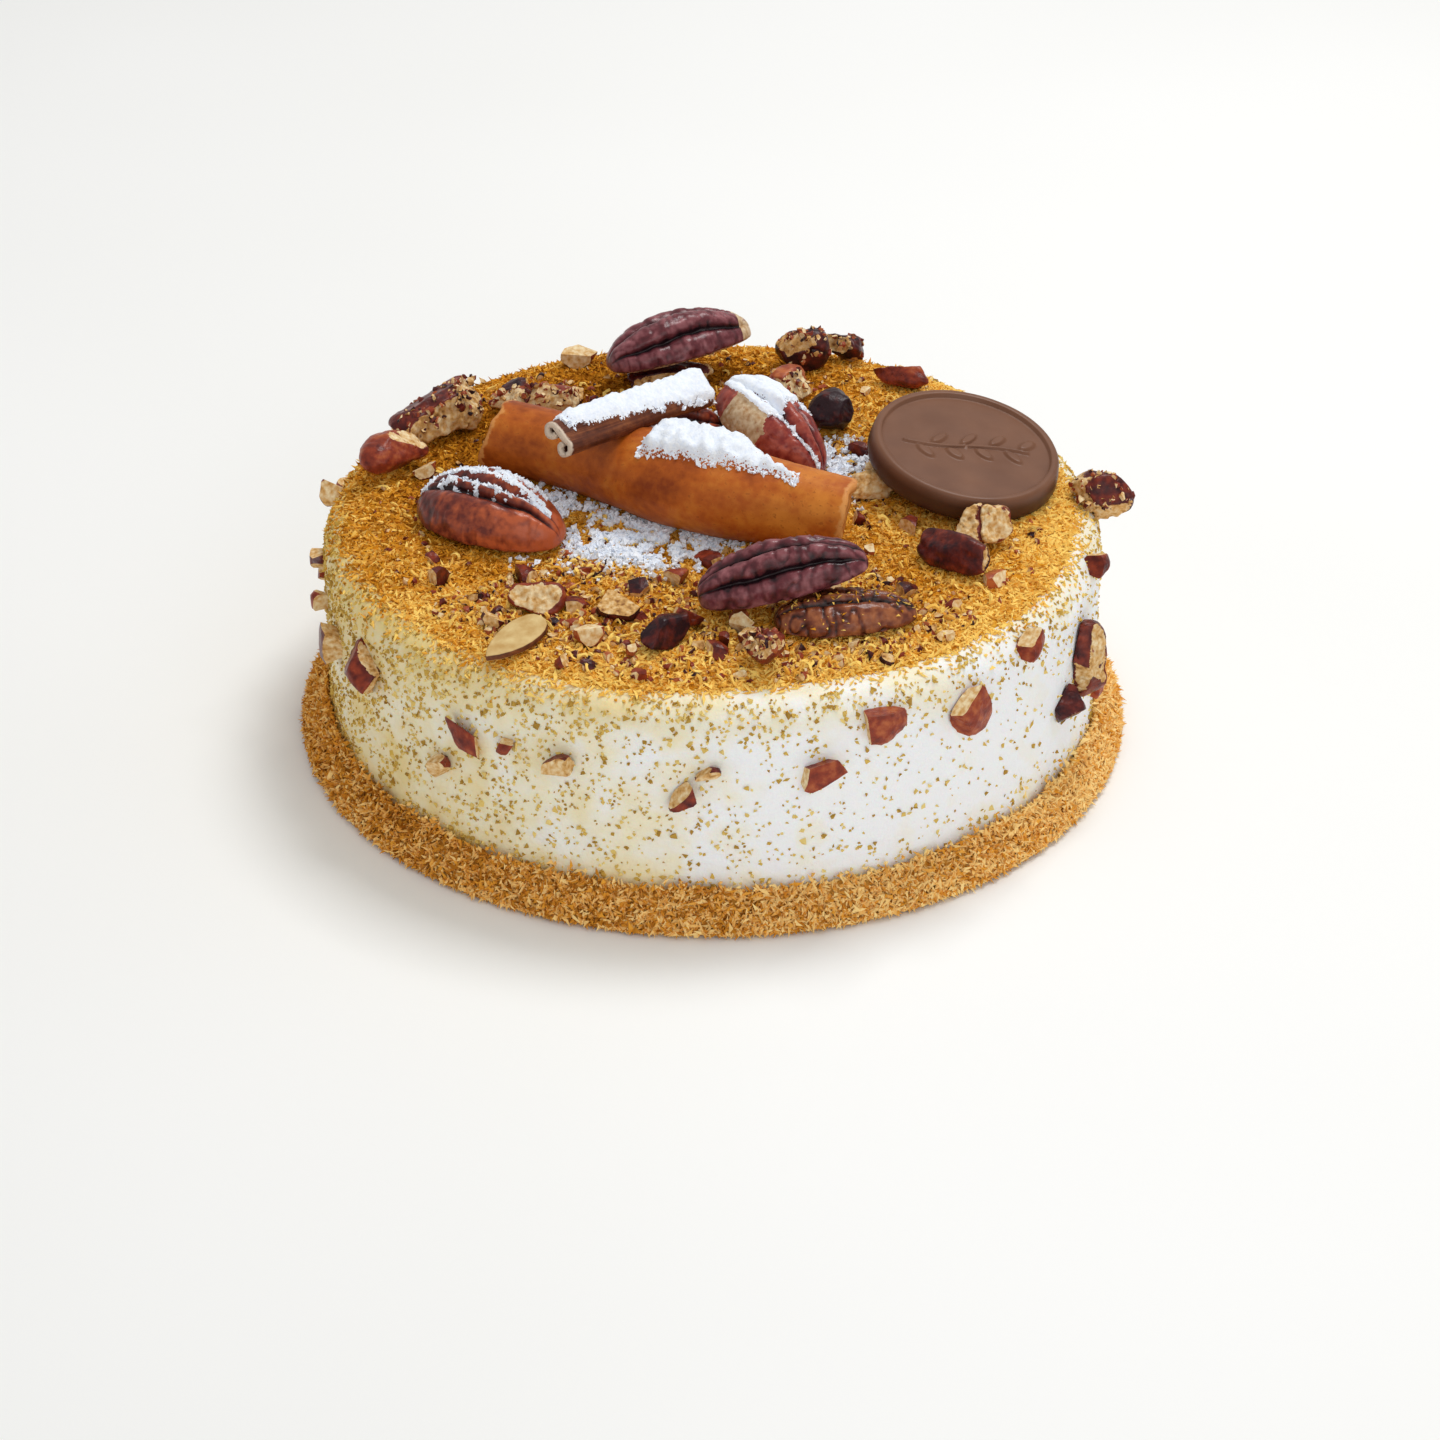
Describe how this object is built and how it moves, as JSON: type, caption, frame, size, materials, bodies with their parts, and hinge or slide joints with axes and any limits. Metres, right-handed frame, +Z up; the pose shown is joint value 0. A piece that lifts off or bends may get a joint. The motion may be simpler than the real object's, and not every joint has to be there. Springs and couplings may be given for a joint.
{
  "type": "caramel cake",
  "caption": "Round cream cake with golden crumbs on top, a crumb foot, pecan halves, broken nuts, cinnamon bark and a chocolate disc.",
  "frame": {"origin": "centre of the bottom, on the surface that the cake stands on", "axes": "+Z up, -Y towards the front shown in the picture, +X to the right"},
  "size_m": [0.1729, 0.1713, 0.075],
  "materials": {
    "foot_crumbs": "rough, coarse brown-gold crumbs",
    "cream": "soft satin white cream flecked with gold crumbs",
    "top_crumbs": "rough, fine golden crumbs",
    "cinnamon_bark": "smooth dry bark, satin",
    "dark_bark": "dry dark bark, dusted with icing sugar",
    "nut_skin": "wrinkled satin nut skin",
    "nut_flesh": "dry pale nut",
    "chocolate": "satin milk chocolate"
  },
  "bodies": {
    "root": {"almond_front": "nut_flesh", "almond_slice_front": "nut_flesh", "chocolate_disc": "chocolate", "cinnamon_quill_large": "cinnamon_bark", "cinnamon_stick_small": "dark_bark", "cream_body": "cream", "crumb_base": "foot_crumbs", "crumb_top": "top_crumbs", "nut_back_middle": "nut_flesh", "nut_back_right": "nut_flesh", "nut_back_right_outer": "nut_skin", "nut_block_right": "nut_flesh", "nut_flake_back": "nut_flesh", "nut_front_right": "nut_skin", "nut_rim_right": "nut_skin", "nut_round": "nut_skin", "nut_side_back": "nut_flesh", "nut_side_back_right": "nut_skin", "nut_side_left": "nut_skin", "nut_side_right": "nut_flesh", "nut_side_right_low": "nut_skin", "nut_strip_back_left": "nut_flesh", "nut_under_back": "nut_skin", "nut_under_disc": "nut_flesh", "pecan_back": "nut_skin", "pecan_broken_left": "nut_skin", "pecan_broken_left_low": "nut_skin", "pecan_centre": "nut_skin", "pecan_front_lower": "nut_skin", "pecan_front_upper": "nut_skin", "pecan_left": "nut_skin", "pecan_sliver_front": "nut_skin", "pecan_sliver_right": "nut_skin", "pecan_under_centre": "nut_skin"}
  },
  "joints": []
}
